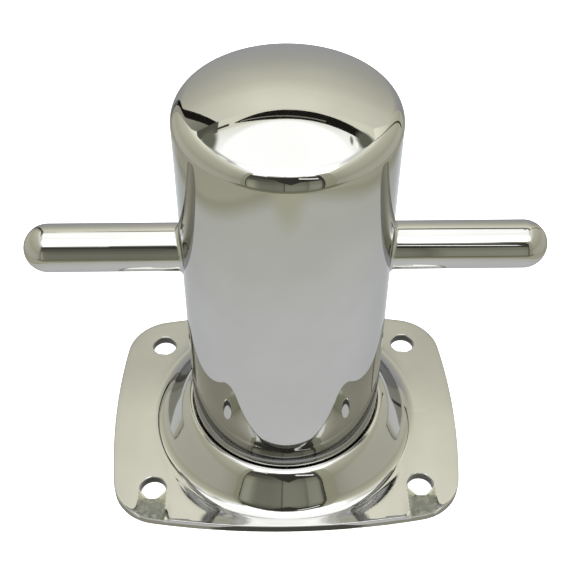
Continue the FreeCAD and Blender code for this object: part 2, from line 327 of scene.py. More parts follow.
def buffed(points, foot_x):
    """How far polishing has taken the plate's top down at each point.

    The edge and the hole rims are worn round. A tail slopes down from each front hole to the front edge,
    the margin beside the tails slopes up a little, the whole top sags and rises gently, and the metal
    climbs towards the boss on the diagonals.
    """
    points = np.array(points)
    across, along = points[:, 0], points[:, 1]
    outwards = np.abs(along)
    reach = np.hypot(across, along)

    edge_gap = distance_to(plate_outline(0), points)
    drop = EDGE_WEAR * np.exp(-(edge_gap / EDGE_WEAR_REACH) ** 2)
    tail = np.zeros(len(points))
    for x, y in HOLES:
        rim_gap = np.hypot(across - x, along - y) - HOLE_R
        drop += RIM_WEAR * np.exp(-(rim_gap / RIM_WEAR_REACH) ** 2)
        if y < 0:
            tail += (along < 0) * np.exp(-(np.abs(across - x) / TAIL_HALF_WIDTH) ** 6)
    drop += tail * TAIL_SLOPE * np.hypot(np.clip(outwards - TAIL_START, 0, None), TAIL_SOFTNESS)

    margin = MARGIN_RISE * (np.clip(outwards - MARGIN_START, 0, None) / MARGIN_WIDTH) ** 2
    sag = SAG_DEPTH * np.sin(across / SAG_SCALE_X + SAG_SHIFT_X) * np.sin(along / SAG_SCALE_Y + SAG_SHIFT_Y)
    fade = np.clip((reach - foot_x) / SAG_FADE, 0, 1)

    diagonal = (2 * across * along / reach ** 2) ** 2
    climb = CLIMB * np.clip(foot_x + CLIMB_REACH - np.maximum(reach, foot_x), 0, None) ** 3
    climb *= diagonal * np.clip((reach - foot_x) / CLIMB_FADE + 1, 0, 1)
    return drop - climb - (sag + margin * (1 - tail)) * fade * fade


def make_base_plate():
    """The pressed plate: the boss, the rounded edge, the bolt holes and the two flat faces."""
    outer, inner, foot_x = boss_profiles()
    shell = Shell()
    shell.lathe(outer)
    shell.lathe(inner)
    rim_turns = [(EDGE_ROUND * (1 - cosd(turn)), PLATE_T - EDGE_ROUND * (1 - sind(turn)))
                 for turn in range(0, 91, 9)]
    levels = [(0, 0)] + rim_turns
    shell.rings([[(x, y, height) for x, y in plate_outline(inset)] for inset, height in levels])
    hole_turns = [(HOLE_R + HOLE_RIM * (1 - cosd(turn)), PLATE_T - HOLE_RIM * (1 - sind(turn)))
                  for turn in range(0, 91, 10)]
    for x, y in HOLES:
        walls = [(HOLE_R, 0)] + hole_turns
        shell.rings([[(u, v, height) for u, v in circle(x, y, radius, HOLE_AROUND)]
                     for radius, height in walls])

    top_edge = plate_outline(EDGE_ROUND)
    foot = circle(0, 0, foot_x, AROUND)
    top_holes = [circle(x, y, HOLE_R + HOLE_RIM, HOLE_AROUND) for x, y in HOLES]
    edge_points = np.array(top_edge)

    def clear_of_rims(x, y):
        """Whether a point is well inside the outline and well outside every hole."""
        if any(math.hypot(x - u, y - v) < HOLE_R + HOLE_RIM + RIM_CLEARANCE for u, v in HOLES):
            return False
        near = np.hypot(edge_points[:, 0] - x, edge_points[:, 1] - y)
        closest = int(near.argmin())
        inside = x * edge_points[closest, 0] + y * edge_points[closest, 1]
        return near[closest] > EDGE_CLEARANCE and inside < edge_points[closest] @ edge_points[closest]

    def in_field(x, y):
        return math.hypot(x, y) > foot_x + FOOT_RING_STEP * (FOOT_RINGS + 1) and clear_of_rims(x, y)

    def is_metal(point):
        if point.length < foot_x - 1e-3:
            return False
        return all((point - Vector(hole)).length > HOLE_R + 1e-3 for hole in HOLES)

    round_foot = [point for ring in range(1, FOOT_RINGS + 1)
                  for point in circle(0, 0, foot_x + FOOT_RING_STEP * ring, AROUND)]
    field = [point for point in round_foot if clear_of_rims(*point)] + grid_points(GRID_STEP, in_field)
    shell.sheet(top_edge, [foot] + top_holes, field, PLATE_T, is_metal)
    low_holes = [circle(x, y, HOLE_R, HOLE_AROUND) for x, y in HOLES]
    shell.sheet(plate_outline(0), [foot] + low_holes, [], 0, is_metal)

    top = [here for here, point in enumerate(shell.vertices)
           if point[2] > PLATE_T - EDGE_ROUND - 1e-6
           and math.hypot(point[0], point[1]) > foot_x - CLIMB_FADE]
    drops = buffed([shell.vertices[here][:2] for here in top], foot_x)
    for here, drop in zip(top, drops):
        x, y, z = shell.vertices[here]
        share = min(1, (z - PLATE_T + EDGE_ROUND) / EDGE_ROUND)
        shell.vertices[here] = (x, y, z - float(drop) * share)
    return shell.build("plate_polished")


# ---------------------------------------------------------------- post, cap and welds

def tube_levels():
    """Heights of the tube's rows: even, with the patch round the bar holes as square as the columns."""
    step = POST_R * 2 * math.pi / AROUND
    patch = [BAR_Z + step * row for row in range(-PATCH, PATCH + 1)]
    below = [tube_low.z + (patch[0] - tube_low.z) * row / ROWS_BELOW for row in range(ROWS_BELOW)]
    above = [patch[-1] + (seam_low.z - patch[-1]) * row / ROWS_ABOVE for row in range(1, ROWS_ABOVE + 1)]
    return below, patch, above


def patch_border():
    """(column, row) of each point round the patch's edge, anticlockwise, from its lower corner."""
    span = range(-PATCH, PATCH)
    border = [(column, -PATCH) for column in span]
    border += [(PATCH, row) for row in span]
    border += [(-column, PATCH) for column in span]
    border += [(-PATCH, -row) for row in span]
    return border


def bar_hole_rings(shell, border, radius, sign):
    """Rings of quads from a patch's border in to the bar hole, on the tube's surface. Gives the last ring."""
    starts, ends = [], []
    for index in border:
        _, y, z = shell.vertices[index]
        turn = math.atan2(z - BAR_Z, y)
        starts.append((math.asin(y / radius), z))
        y_hole = BAR_HOLE_R * math.cos(turn)
        ends.append((math.asin(y_hole / radius), BAR_Z + BAR_HOLE_R * math.sin(turn)))
    last = border
    for step in range(1, PATCH_RINGS + 1):
        share = 1 - (1 - step / PATCH_RINGS) ** PATCH_CROWDING
        points = []
        for (turn, height), (turn_end, height_end) in zip(starts, ends):
            angle = turn + (turn_end - turn) * share
            points.append((sign * radius * math.cos(angle), radius * math.sin(angle),
                           height + (height_end - height) * share))
        ring = shell.ring(points)
        shell.bridge(last, ring)
        last = ring
    return last


def tube_skin(shell, radius, end_height):
    """One side of the tube wall: a grid of rows and columns, and a ring of quads round each bar hole."""
    below, patch, above = tube_levels()
    heights = below + patch + above[:-1] + [end_height]
    first_row = len(below)
    rows = [shell.ring([(x, y, height) for x, y in circle(0, 0, radius, AROUND)]) for height in heights]
    middles = (0, AROUND // 2)

    def in_patch(column, row):
        if not first_row <= row < first_row + 2 * PATCH:
            return False
        return any((column - middle + PATCH) % AROUND < 2 * PATCH for middle in middles)

    for row in range(len(rows) - 1):
        for column in range(AROUND):
            after = (column + 1) % AROUND
            if not in_patch(column, row):
                shell.faces.append((rows[row][column], rows[row][after],
                                    rows[row + 1][after], rows[row + 1][column]))

    rims = []
    for middle in middles:
        border = [rows[first_row + PATCH + row][(middle + column) % AROUND] for column, row in patch_border()]
        rims.append(bar_hole_rings(shell, border, radius, 1 if middle == 0 else -1))
    return rows[0], rows[-1], rims


def make_post_tube():
    shell = Shell()
    outer_foot, outer_top, outer_rims = tube_skin(shell, POST_R, seam_low.z)
    inner_foot, inner_top, inner_rims = tube_skin(shell, BORE_R, tube_high.z)
    shell.bridge(outer_foot, inner_foot)
    shell.bridge(outer_top, inner_top)
    for outer_rim, inner_rim in zip(outer_rims, inner_rims):
        shell.bridge(outer_rim, inner_rim)
    return shell.build("post_polished")


def make_cap_seam():
    """The weld that closes the groove between post and cap: flush outside, a bead inside."""
    middle = (seam_low.z + seam_high.z) / 2
    face = (seam_high.z - seam_low.z) / 2
    half = math.degrees(math.asin(SEAM_ROOT / SEAM_BEAD))
    centre = BORE_R + SEAM_BEAD * cosd(half)
    profile = [(POST_R, middle - face)] + line((POST_R, middle - face), (POST_R, middle + face), 6)
    profile += line((POST_R, middle + face), (BORE_R, middle + SEAM_ROOT), 3)
    profile += arc(centre, middle, SEAM_BEAD, 180 - half, 180 + half, 8)
    profile += line((BORE_R, middle - SEAM_ROOT), (POST_R, middle - face), 3)
    shell = Shell()
    shell.lathe(profile)
    return shell.build("cap_seam_flush")


def make_cap():
    """The dished cap: a shallow crown and a round edge, outside and inside."""
    crown_z = cap_high.z - CROWN_R
    turn = math.degrees(math.acos((POST_R - CAP_EDGE_R) / (CROWN_R - CAP_EDGE_R)))
    edge_z = crown_z + (CROWN_R - CAP_EDGE_R) * sind(turn)
    edge_x = POST_R - CAP_EDGE_R
    outer = [(POST_R, seam_high.z)] + line((POST_R, seam_high.z), (POST_R, edge_z), 12)
    outer += arc(edge_x, edge_z, CAP_EDGE_R, 0, turn, 40)
    outer += arc(0, crown_z, CROWN_R, turn, 90, 60)
    inner = [(0, cap_high.z - WALL)]
    inner += arc(0, crown_z, CROWN_R - WALL, 90, turn, 24)
    inner += arc(edge_x, edge_z, CAP_EDGE_R - WALL, turn, 0, 12)
    inner += line((BORE_R, edge_z), (BORE_R, cap_low.z), 6)
    shell = Shell()
    shell.lathe(outer + inner + [(POST_R, seam_high.z)])
    return shell.build("cap_polished")


def make_crossbar():
    """The solid bar with its two half ball ends, turned about Z and then laid along X."""
    near = BAR_END - BAR_R
    profile = [(0, -BAR_END)] + arc(0, -near, BAR_R, 270, 360, 24)
    profile += line((BAR_R, -near), (BAR_R, near), 90)
    profile += arc(0, near, BAR_R, 0, 90, 24)
    shell = Shell()
    shell.lathe(profile, 144)
    shell.vertices = [(z, y, BAR_Z - x) for x, y, z in shell.vertices]
    return shell.build("crossbar_polished")


def make_bar_weld(side, name):
    """The fillet between post and crossbar: a ball rolled round the bar while it touches both."""
    count = 180
    steps = 12
    loops = []
    corner = []
    for place in range(count):
        turn = 2 * math.pi * place / count
        ball_y, ball_z = (BAR_R + WELD_R) * math.cos(turn), (BAR_R + WELD_R) * math.sin(turn)
        ball_x = math.sqrt((POST_R + WELD_R) ** 2 - ball_y**2)
        post_point = Vector((ball_x, ball_y, 0)) * POST_R / (POST_R + WELD_R) + Vector((0, 0, ball_z))
        bar_point = Vector((ball_x, BAR_R * math.cos(turn), BAR_R * math.sin(turn)))
        ball = Vector((ball_x, ball_y, ball_z))
        first, last = (post_point - ball).normalized(), (bar_point - ball).normalized()
        loops.append([ball + first.slerp(last, step / steps) * WELD_R for step in range(steps + 1)])
        root_y = BAR_R * math.cos(turn)
        corner.append(Vector((math.sqrt(POST_R**2 - root_y**2), root_y, BAR_R * math.sin(turn))))
    shell = Shell()

    def placed(point):
        return (side * point.x, point.y, BAR_Z + point.z)

    rings = [[placed(loop[step]) for loop in loops] for step in range(steps + 1)]
    root = [placed(point) for point in corner]
    shell.rings([root] + rings + [root])
    return shell.build(name)


def make_foot_weld():
    """The hidden fillet under the boss lip, with the small ripples of a hand weld."""
    _, inner, _ = boss_profiles()
    rim_z = inner[0][1]
    reach_x, reach_z = min(inner, key=lambda point: abs(point[0] - foot_high.x))
    rings = []
    for step in range(BEAD_STEPS + 1):
        share = step / BEAD_STEPS
        swell = math.sin(math.pi * share)
        radius = POST_R + (reach_x - POST_R) * share
        height = foot_low.z + (reach_z - foot_low.z) * share - BEAD_BULGE * swell
        loop = []
        for place in range(BEAD_AROUND):
            turn = 2 * math.pi * place / BEAD_AROUND
            ripple = BEAD_RIPPLE * swell * math.sin(BEAD_RIPPLES * turn + BEAD_SLANT * swell)
            loop.append((radius * math.cos(turn), radius * math.sin(turn), height - ripple))
        rings.append(loop)
    contact = [point for point in inner if point[0] < reach_x - 1e-6]
    for radius, height in reversed(contact):
        rings.append([(x, y, height) for x, y in circle(0, 0, radius, BEAD_AROUND)])
    rings.append([(x, y, rim_z) for x, y in circle(0, 0, POST_R, BEAD_AROUND)])
    rings.append(rings[0])
    shell = Shell()
    shell.rings(rings)
    return shell.build("foot_weld_bead")


# ---------------------------------------------------------------- materials

STEEL_DARK = (0.522, 0.520, 0.510)
STEEL_LIGHT = (0.558, 0.556, 0.546)
STEEL_TINT = (0.74, 0.74, 0.76, 1)
MARK_DEPTH = 0.00002


def new_material(name):
    material = bpy.data.materials.new(name)
    material.use_nodes = True
    return material, material.node_tree.nodes, material.node_tree.links


def add_noise(nodes, links, coordinates, scale, detail, stretch=(1, 1, 1)):
    mapping = nodes.new("ShaderNodeMapping")
    mapping.inputs["Scale"].default_value = stretch
    links.new(coordinates.outputs["Object"], mapping.inputs["Vector"])
    noise = nodes.new("ShaderNodeTexNoise")
    noise.inputs["Scale"].default_value = scale
    noise.inputs["Detail"].default_value = detail
    links.new(mapping.outputs["Vector"], noise.inputs["Vector"])
    return noise


def add_range(nodes, links, source, low, high, start=0.3, end=0.7):
    spread = nodes.new("ShaderNodeMapRange")
    spread.inputs["From Min"].default_value = start
    spread.inputs["From Max"].default_value = end
    spread.inputs["To Min"].default_value = low
    spread.inputs["To Max"].default_value = high
    links.new(source, spread.inputs["Value"])
    return spread.outputs["Result"]


def add_colour(nodes, links, source, dark, light, start=0.3, end=0.7):
    ramp = nodes.new("ShaderNodeValToRGB")
    ramp.color_ramp.elements[0].position = start
    ramp.color_ramp.elements[1].position = end
    ramp.color_ramp.elements[0].color = (*dark, 1)
    ramp.color_ramp.elements[1].color = (*light, 1)
    links.new(source, ramp.inputs["Fac"])
    return ramp.outputs["Color"]


def add_bump(nodes, links, height, strength, distance, below=None):
    bump = nodes.new("ShaderNodeBump")
    bump.inputs["Strength"].default_value = strength
    bump.inputs["Distance"].default_value = distance
    links.new(height, bump.inputs["Height"])
    if below is not None:
        links.new(below, bump.inputs["Normal"])
    return bump.outputs["Normal"]


def polished_steel(name, wave, wave_size, haze, marks, stretch=(1, 1, 1), painted_shade_tone=(1, 1, 1)):
    """Buffed stainless: a near mirror with a slow waviness, fine polishing marks and faint haze.

    wave and the depth of the marks are in metres. The last argument darkens and tints the base colour, as
    painted shade.
    """
    material, nodes, links = new_material(name)
    shader = nodes["Principled BSDF"]
    shader.inputs["Metallic"].default_value = 1.0
    shader.inputs["Specular Tint"].default_value = STEEL_TINT
    coordinates = nodes.new("ShaderNodeTexCoord")
    patches = add_noise(nodes, links, coordinates, scale=55, detail=4)
    dark = tuple(level * share for level, share in zip(STEEL_DARK, painted_shade_tone))
    light = tuple(level * share for level, share in zip(STEEL_LIGHT, painted_shade_tone))
    colour = add_colour(nodes, links, patches.outputs["Fac"], dark, light)
    links.new(colour, shader.inputs["Base Color"])
    fine = add_noise(nodes, links, coordinates, scale=900, detail=3, stretch=stretch)
    roughness = add_range(nodes, links, fine.outputs["Fac"], low=haze * 0.7, high=haze * 1.5)
    links.new(roughness, shader.inputs["Roughness"])
    slow = add_noise(nodes, links, coordinates, scale=wave_size, detail=1)
    normal = add_bump(nodes, links, slow.outputs["Fac"], strength=1.0, distance=wave)
    normal = add_bump(nodes, links, fine.outputs["Fac"], strength=marks, distance=MARK_DEPTH, below=normal)
    links.new(normal, shader.inputs["Normal"])
    return material


def satin_steel(name, grain, dark=(0.33, 0.325, 0.315), light=(0.44, 0.435, 0.42)):
    """Mill finish steel, for the sides that nobody polishes: drawn grain and a soft sheen."""
    material, nodes, links = new_material(name)
    shader = nodes["Principled BSDF"]
    shader.inputs["Metallic"].default_value = 1.0
    coordinates = nodes.new("ShaderNodeTexCoord")
    blotches = add_noise(nodes, links, coordinates, scale=70, detail=5)
    links.new(add_colour(nodes, links, blotches.outputs["Fac"], dark, light), shader.inputs["Base Color"])
    drawn = add_noise(nodes, links, coordinates, scale=260, detail=4, stretch=grain)
    roughness = add_range(nodes, links, drawn.outputs["Fac"], low=0.26, high=0.46)
    links.new(roughness, shader.inputs["Roughness"])
    normal = add_bump(nodes, links, drawn.outputs["Fac"], strength=0.35, distance=0.00006)
    links.new(normal, shader.inputs["Normal"])
    return material


def weld_metal(name):
    """Raw weld bead: straw and blue heat tint over a rippled grey."""
    material, nodes, links = new_material(name)
    shader = nodes["Principled BSDF"]
    shader.inputs["Metallic"].default_value = 1.0
    coordinates = nodes.new("ShaderNodeTexCoord")
    tint = add_noise(nodes, links, coordinates, scale=120, detail=4)
    ramp = nodes.new("ShaderNodeValToRGB")
    stops = ramp.color_ramp.elements
    stops[0].position, stops[0].color = 0.32, (0.30, 0.29, 0.30, 1)
    stops[1].position, stops[1].color = 0.70, (0.46, 0.43, 0.37, 1)
    straw = stops.new(0.5)
    straw.color = (0.42, 0.36, 0.27, 1)
    links.new(tint.outputs["Fac"], ramp.inputs["Fac"])
    links.new(ramp.outputs["Color"], shader.inputs["Base Color"])
    grain = add_noise(nodes, links, coordinates, scale=1400, detail=3)
    roughness = add_range(nodes, links, grain.outputs["Fac"], low=0.30, high=0.55)
    links.new(roughness, shader.inputs["Roughness"])
    normal = add_bump(nodes, links, grain.outputs["Fac"], strength=0.3, distance=0.00005)
    links.new(normal, shader.inputs["Normal"])
    return material


def assign(piece, everywhere, *others):
    """One material everywhere, then each other material on the faces that its test picks."""
    piece.data.materials.append(everywhere)
    for index, (material, picks) in enumerate(others, 1):
        piece.data.materials.append(material)
        for face in piece.data.polygons:
            if picks(face.center / MM, face.normal):
                face.material_index = index


# ---------------------------------------------------------------- which faces get another material

DOWNWARDS = -0.15
UPWARDS = 0.9
INWARDS = -0.5
SIDEWAYS = 0.2
NEAR = 0.2
TAIL_LENGTH = 14
TAIL_GAP = 0.9


def is_under_plate(middle, normal):
    return normal.z < DOWNWARDS and middle.z < BOSS_TOP - 1.0


def is_drilled_and_shaded(middle, normal):
    """The walls of the bolt holes, below their worn rims, which get a drilled finish and painted shade."""
    if abs(normal.z) >= SIDEWAYS or middle.z >= PLATE_T - NEAR:
        return False
    return any(math.hypot(middle.x - x, middle.y - y) < HOLE_R + NEAR for x, y in HOLES)


def is_painted_shade_tail(middle, normal):
    """The strips of the plate's top that run from the front holes towards the front edge, which get painted
    shade.
    """
    if normal.z <= UPWARDS:
        return False
    return any(abs(middle.x - x) < HOLE_R + HOLE_RIM and TAIL_GAP < y - middle.y < TAIL_LENGTH
               and math.hypot(middle.x - x, middle.y - y) > HOLE_R + HOLE_RIM
               for x, y in HOLES if y < 0)


def is_in_bore(middle, normal):
    return math.hypot(middle.x, middle.y) < POST_R - NEAR


def is_in_cap(middle, normal):
    return normal.z < DOWNWARDS or normal.dot(Vector((middle.x, middle.y, 0))) < INWARDS


# ---------------------------------------------------------------- pieces

plate_steel = polished_steel("plate_mirror", wave=0.00012, wave_size=34, haze=0.05, marks=0.05)
# The tails are hazier, and their colour is darker and more olive, which is painted shade.
tail_steel_painted_shade = polished_steel("plate_tails_painted_shade", wave=0.00012, wave_size=34, haze=0.14, marks=0.05,
                            painted_shade_tone=(0.76, 0.78, 0.68))
post_steel = polished_steel("post_mirror", wave=0.00006, wave_size=26, haze=0.03, marks=0.04,
                            stretch=(1, 1, 0.15))
cap_steel = polished_steel("cap_mirror", wave=0.00003, wave_size=26, haze=0.025, marks=0.03)
seam_steel = polished_steel("seam_mirror", wave=0.00006, wave_size=26, haze=0.03, marks=0.04,
                            stretch=(1, 1, 0.15))
bar_steel = polished_steel("crossbar_mirror", wave=0.00004, wave_size=30, haze=0.03, marks=0.04,
                           stretch=(0.15, 1, 1))
bar_weld_steel = polished_steel("dressed_weld", wave=0.00020, wave_size=260, haze=0.06, marks=0.15)
plate_under = satin_steel("plate_underside", grain=(1, 6, 1))
bore_steel = satin_steel("tube_bore", grain=(1, 1, 6))
cap_under = satin_steel("cap_underside", grain=(1, 1, 1))
# The bolt holes' walls: a rough drilled finish, and a far darker colour than steel has, which is painted
# shade of the deep holes.
drilled_and_shaded_steel = satin_steel("drilled_wall_painted_shade", grain=(1, 1, 9), dark=(0.050, 0.049, 0.044),
                            light=(0.13, 0.125, 0.112))
bead_metal = weld_metal("raw_weld")

base_plate = make_base_plate()
assign(base_plate, plate_steel, (plate_under, is_under_plate), (drilled_and_shaded_steel, is_drilled_and_shaded),
       (tail_steel_painted_shade, is_painted_shade_tail))
post_tube = make_post_tube()
assign(post_tube, post_steel, (bore_steel, is_in_bore))
cap_seam = make_cap_seam()
assign(cap_seam, seam_steel, (bead_metal, is_in_bore))
top_cap = make_cap()
assign(top_cap, cap_steel, (cap_under, is_in_cap))
crossbar = make_crossbar()
assign(crossbar, bar_steel)
weld_left = make_bar_weld(-1, "crossbar_weld_dressed_left")
assign(weld_left, bar_weld_steel)
weld_right = make_bar_weld(1, "crossbar_weld_dressed_right")
assign(weld_right, bar_weld_steel)
foot_weld = make_foot_weld()
assign(foot_weld, bead_metal)

STANDS_FOR = [
    (base_plate, "base_plate", "polished_stainless"),
    (post_tube, "post_tube", "polished_stainless"),
    (top_cap, "top_cap", "polished_stainless"),
    (cap_seam, "cap_seam_weld", "polished_stainless"),
    (crossbar, "crossbar", "polished_stainless"),
    (weld_left, "crossbar_weld_left", "polished_stainless"),
    (weld_right, "crossbar_weld_right", "polished_stainless"),
    (foot_weld, "foot_weld", "weld_metal"),
]
for piece, node, material_slot in STANDS_FOR:
    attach(piece, "root")
    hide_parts(node)


# ---------------------------------------------------------------- light tent

STEEL_REFLECTS = 0.54
GLOW = 3.0  # a card's ramp colours are divided by this, and its strength multiplies them back


def shows(red, green, blue):
    """The light a card gives off so that its reflection in the steel shows this 8-bit screen colour."""
    return tuple(((level / 255 + 0.055) / 1.055) ** 2.4 / STEEL_REFLECTS for level in (red, green, blue))


def blazing(times, red, green, blue):
    """As shows, but so many times brighter, for light that bleaches out to white."""
    return tuple(times * level for level in shows(red, green, blue))


def start_glow(name):
    """A material with an emission shader and an output, not linked yet."""
    material, nodes, links = new_material(name)
    nodes.clear()
    shader = nodes.new("ShaderNodeEmission")
    output = nodes.new("ShaderNodeOutputMaterial")
    return material, nodes, links, shader, output


def add_stops(nodes, links, position, axis, stops, colours):
    """A colour ramp along an axis, its stops given as places in millimetres."""
    split = nodes.new("ShaderNodeSeparateXYZ")
    links.new(position, split.inputs["Vector"])
    first, last = stops[0][0], stops[-1][0]
    share = add_range(nodes, links, split.outputs[axis], 0, 1, first * MM, last * MM)
    ramp = nodes.new("ShaderNodeValToRGB")
    elements = ramp.color_ramp.elements
    elements.remove(elements[1])
    for number, ((spot, _), colour) in enumerate(zip(stops, colours)):
        place = (spot - first) / (last - first)
        element = elements[0] if number == 0 else elements.new(place)
        element.position = place
        element.color = (*colour, 1)
    links.new(share, ramp.inputs["Fac"])
    return ramp.outputs["Color"]


def glow(name, *stops, axis="Z", dim=None):
    """A glowing card: one colour, or (place in millimetres along an axis, colour) stops.

    dim names a second axis and (place, share of the light) stops along it.
    """
    material, nodes, links, shader, output = start_glow(name)
    links.new(shader.outputs["Emission"], output.inputs["Surface"])
    if len(stops) == 1:
        shader.inputs["Color"].default_value = (*stops[0], 1)
        return material
    shader.inputs["Strength"].default_value = GLOW
    place = nodes.new("ShaderNodeNewGeometry").outputs["Position"]
    colours = [tuple(level / GLOW for level in colour) for _, colour in stops]
    links.new(add_stops(nodes, links, place, axis, stops, colours), shader.inputs["Color"])
    if dim is not None:
        shares = [(share,) * 3 for _, share in dim[1:]]
        strength = nodes.new("ShaderNodeMath")
        strength.operation = "MULTIPLY"
        strength.inputs[1].default_value = GLOW
        links.new(add_stops(nodes, links, place, dim[0], dim[1:], shares), strength.inputs[0])
        links.new(strength.outputs["Value"], shader.inputs["Strength"])
    return material


def patch(name, x, y, radius_x, radius_y, height, colour, soft):
    """A glowing ellipse lying flat at a height. Its light fades out over the soft share of its radius."""
    material, nodes, links, shader, output = start_glow(name)
    shader.inputs["Color"].default_value = (*colour, 1)
    place = nodes.new("ShaderNodeNewGeometry")
    shift = nodes.new("ShaderNodeVectorMath")
    shift.operation = "SUBTRACT"
    shift.inputs[1].default_value = (x * MM, y * MM, 0)
    links.new(place.outputs["Position"], shift.inputs[0])
    shrink = nodes.new("ShaderNodeVectorMath")
    shrink.operation = "DIVIDE"
    shrink.inputs[1].default_value = (radius_x * MM, radius_y * MM, 1e6)
    links.new(shift.outputs["Vector"], shrink.inputs[0])
    length = nodes.new("ShaderNodeVectorMath")
    length.operation = "LENGTH"
    links.new(shrink.outputs["Vector"], length.inputs[0])
    edge = nodes.new("ShaderNodeMapRange")
    edge.interpolation_type = "SMOOTHSTEP"
    edge.inputs["From Min"].default_value = 1 - soft
    edge.inputs["From Max"].default_value = 1
    links.new(length.outputs["Value"], edge.inputs["Value"])
    clear = nodes.new("ShaderNodeBsdfTransparent")
    mix = nodes.new("ShaderNodeMixShader")
    links.new(edge.outputs["Result"], mix.inputs["Fac"])
    links.new(shader.outputs["Emission"], mix.inputs[1])
    links.new(clear.outputs["BSDF"], mix.inputs[2])
    links.new(mix.outputs["Shader"], output.inputs["Surface"])
    return level(name, x - radius_x, y - radius_y, x + radius_x, y + radius_y, height, material)


def card(name, corners, material):
    """A flat card of the light tent, in millimetres. Only reflections in the steel show it."""
    mesh = bpy.data.meshes.new(name)
    mesh.from_pydata([Vector(corner) * MM for corner in corners], [], [tuple(range(len(corners)))])
    mesh.materials.append(material)
    panel = bpy.data.objects.new(name, mesh)
    bpy.context.scene.collection.objects.link(panel)
    panel.visible_camera = False
    panel.visible_diffuse = False
    panel.visible_shadow = False
    return panel


def upright(name, x0, y0, x1, y1, low, high, material):
    """A standing card from (x0, y0) to (x1, y1)."""
    return card(name, [(x0, y0, low), (x1, y1, low), (x1, y1, high), (x0, y0, high)], material)


def level(name, x0, y0, x1, y1, height, material):
    """A flat card with (x0, y0) and (x1, y1) as opposite corners."""
    return card(name, [(x0, y0, height), (x1, y0, height), (x1, y1, height), (x0, y1, height)], material)


def bowed_band(name, x0, x1, height, near, far, material):
    """A flat band along X whose two long edges are given as functions of x."""
    steps = 24
    places = [x0 + (x1 - x0) * step / steps for step in range(steps + 1)]
    corners = [(x, near(x), height) for x in places]
    corners += [(x, far(x), height) for x in reversed(places)]
    return card(name, corners, material)


def front_card(name, ahead, corners, material):
    """A card some millimetres inside the front wall, its corners given as (x, height)."""
    return card(name, [(x, FRONT + ahead, height) for x, height in corners], material)


# ---------------------------------------------------------------- the tent: walls

SIDE = 260
BACK = 258
FRONT = -300
TOP = 460
DOOR_LEFT = -216
DOOR_RIGHT = 170

BLACK = shows(24, 23, 20)

upright("back_wall", -190, BACK, SIDE, BACK, 0, 480, glow(
    "back_glow", (0, shows(150, 150, 150)), (110, shows(155, 155, 155)), (190, shows(163, 163, 154)),
    (280, shows(184, 183, 168)), (340, shows(204, 203, 187)), (410, shows(213, 212, 196)),
    (480, shows(214, 213, 199)),
    dim=("X", (-190, 0.82), (-130, 0.88), (-50, 1.0), (60, 1.0), (130, 0.90), (SIDE, 0.82))))
upright("back_slit", -217, BACK, -190, BACK, 150, 480, glow("slit_glow", BLACK))
upright("back_slit_low", -214, BACK, -190, BACK, 0, 150, glow("slit_low_glow", shows(95, 94, 84)))
upright("back_side_panel", -SIDE, BACK, -217, BACK, 0, 480, glow(
    "side_panel_glow", (0, shows(150, 149, 140)), (300, shows(140, 139, 128)), (480, shows(108, 107, 96))))
wall_stops = [(0, shows(157, 157, 145)), (95, shows(159, 158, 145)), (150, shows(151, 150, 133)),
              (200, shows(159, 158, 142)), (320, shows(172, 171, 155)), (TOP, shows(215, 215, 198))]
along_wall = ("Y", (FRONT, 0.80), (-180, 0.93), (0, 1.02), (130, 1.14), (BACK, 1.14))
for wall, x in (("left", -SIDE), ("right", SIDE)):
    upright(wall + "_wall", x, FRONT, x, BACK, 0, TOP, glow(wall + "_glow", *wall_stops, dim=along_wall))
upright("right_slit", SIDE - 1, 170, SIDE - 1, 184, 60, TOP, glow("right_slit_glow", shows(58, 56, 48)))


# ---------------------------------------------------------------- the tent: ceiling

level("ceiling", -SIDE, FRONT, SIDE, 200, TOP, glow(
    "ceiling_glow", (FRONT, blazing(1.8, 235, 236, 232)), (-230, blazing(2.0, 245, 246, 243)),
    (-110, blazing(1.9, 246, 246, 244)), (-50, shows(249, 249, 247)),
    (150, shows(240, 241, 236)), (200, shows(222, 223, 214)), axis="Y",
    dim=("X", (-SIDE, 0.45), (-215, 0.40), (-182, 1.0), (182, 1.0), (212, 0.62), (SIDE, 0.66))))
patch("softbox", -5, 74, 194, 128, TOP - 2, shows(255, 255, 255), soft=0.14)
patch("ceiling_dusk_left", -214, 168, 42, 72, TOP - 3, shows(98, 99, 88), soft=0.5)
patch("ceiling_dusk_right", 222, 166, 44, 56, TOP - 3, shows(90, 91, 80), soft=0.5)
patch("ceiling_fold_right", 172, 148, 7, 26, TOP - 3, shows(126, 128, 112), soft=0.6)
patch("ceiling_shine_right", 187, 136, 6, 20, TOP - 4, shows(250, 250, 244), soft=0.6)
patch("ceiling_shine_front", 236, -100, 26, 60, TOP - 3, shows(232, 232, 224), soft=0.6)
patch("ceiling_shine_left", -238, 0, 24, 60, TOP - 3, shows(232, 232, 222), soft=0.6)
bowed_band("ceiling_gap", -134, 236, TOP - 1, lambda x: 200 + (0.0009 if x < 0 else -0.0008) * x * x,
           lambda x: 250 - (0.0009 if x > 0 else 0.0017) * x * x, glow("gap_glow", BLACK))
bowed_band("ceiling_seam", -118, 104, TOP - 2, lambda x: 212 - 0.06 * x - 0.0003 * x * x,
           lambda x: 217 - 0.06 * x - 0.0003 * x * x, glow("ceiling_seam_glow", shows(122, 122, 112)))
level("ceiling_back", -SIDE, 200, SIDE, BACK, TOP, glow("ceiling_back_glow", shows(207, 206, 190)))
level("ceiling_corner", -SIDE, 200, -184, BACK, TOP - 1, glow("ceiling_corner_glow", shows(78, 78, 69)))
level("ceiling_corner_thread", -184, 212, -150, 224, TOP - 1, glow("corner_thread_glow", shows(52, 53, 45)))


# ---------------------------------------------------------------- the tent: floor
# These cards lie in a stack just under the pale floor, which the steel's reflections don't show.

